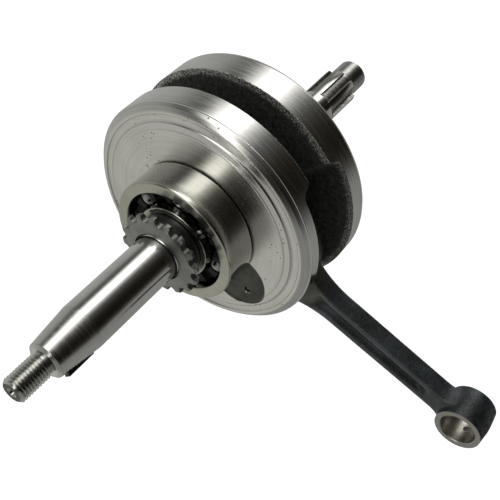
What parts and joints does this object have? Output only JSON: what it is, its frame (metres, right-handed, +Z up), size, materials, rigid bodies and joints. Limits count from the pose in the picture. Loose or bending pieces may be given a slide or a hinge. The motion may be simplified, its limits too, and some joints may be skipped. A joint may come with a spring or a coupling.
{
  "type": "crankshaft with connecting rod",
  "caption": "Pressed-up single-cylinder crankshaft with full round webs, connecting rod on a needle bearing, ball main bearing, cam-chain sprocket, keyed taper and splined end.",
  "frame": {"origin": "on the crank axis, midway between the two webs, in the connecting rod's middle plane", "axes": "+Y along the crank axis from the flywheel taper to the splined end; +Z up; the rod points towards +X and down at rest"},
  "size_m": [0.2043, 0.2552, 0.1428],
  "materials": {
    "ground_steel": "ground and turned steel, satin, with fine turning marks; rough dark forging between the webs",
    "pin_steel": "case-hardened steel, dark grey with a green-brown tint",
    "bearing_steel": "polished bearing steel",
    "sprocket_steel": "hardened steel, matte mid grey, darker on the boss",
    "key_steel": "black oxide",
    "forged_steel": "satin blue-black forging with ground end faces",
    "washer_steel": "flat ground washer with a bronze-coloured coating",
    "cage_steel": "satin steel",
    "black_nylon": "black moulded nylon"
  },
  "bodies": {
    "main_bearing_outer": {"main_bearing_outer_ring": "bearing_steel"},
    "crank": {"crank_half_left": "ground_steel", "crank_half_right": "ground_steel", "crank_pin": "pin_steel", "oil_gallery_plug": "bearing_steel", "cam_chain_sprocket": "sprocket_steel", "flywheel_key": "key_steel", "main_bearing_inner_ring": "bearing_steel"},
    "ball_set": {"main_bearing_ball_cage": "black_nylon", "main_bearing_ball_1": "bearing_steel", "main_bearing_ball_2": "bearing_steel", "main_bearing_ball_3": "bearing_steel", "main_bearing_ball_4": "bearing_steel", "main_bearing_ball_5": "bearing_steel", "main_bearing_ball_6": "bearing_steel", "main_bearing_ball_7": "bearing_steel"},
    "rod": {"connecting_rod": "forged_steel"},
    "needle_set": {"big_end_needle_cage": "cage_steel", "big_end_needle_1": "bearing_steel", "big_end_needle_2": "bearing_steel", "big_end_needle_3": "bearing_steel", "big_end_needle_4": "bearing_steel", "big_end_needle_5": "bearing_steel", "big_end_needle_6": "bearing_steel", "big_end_needle_7": "bearing_steel", "big_end_needle_8": "bearing_steel", "big_end_needle_9": "bearing_steel", "big_end_needle_10": "bearing_steel", "big_end_needle_11": "bearing_steel", "big_end_needle_12": "bearing_steel", "big_end_needle_13": "bearing_steel", "big_end_needle_14": "bearing_steel"},
    "washer_left": {"thrust_washer_left": "washer_steel"},
    "washer_right": {"thrust_washer_right": "washer_steel"}
  },
  "joints": [
    {"name": "crank_spin", "type": "hinge", "parent": "main_bearing_outer", "child": "crank", "pos_m": [0, -0.03335, 0], "axis": [0, 1, 0], "continuous": true},
    {"name": "ball_set_spin", "type": "hinge", "parent": "main_bearing_outer", "child": "ball_set", "pos_m": [0, -0.03335, 0], "axis": [0, 1, 0], "continuous": true},
    {"name": "rod_swing", "type": "hinge", "parent": "crank", "child": "rod", "pos_m": [0.02189, 0, -0.02483], "axis": [0, 1, 0], "continuous": true},
    {"name": "needle_set_spin", "type": "hinge", "parent": "crank", "child": "needle_set", "pos_m": [0.02189, 0, -0.02483], "axis": [0, 1, 0], "continuous": true},
    {"name": "washer_left_spin", "type": "hinge", "parent": "crank", "child": "washer_left", "pos_m": [0.02189, -0.01165, -0.02483], "axis": [0, 1, 0], "continuous": true},
    {"name": "washer_right_spin", "type": "hinge", "parent": "crank", "child": "washer_right", "pos_m": [0.02189, 0.01165, -0.02483], "axis": [0, 1, 0], "continuous": true}
  ],
  "couplings": [
    {"joint": "ball_set_spin", "follows": "crank_spin", "ratio": 0.3678},
    {"joint": "needle_set_spin", "follows": "rod_swing", "ratio": 0.5571}
  ]
}
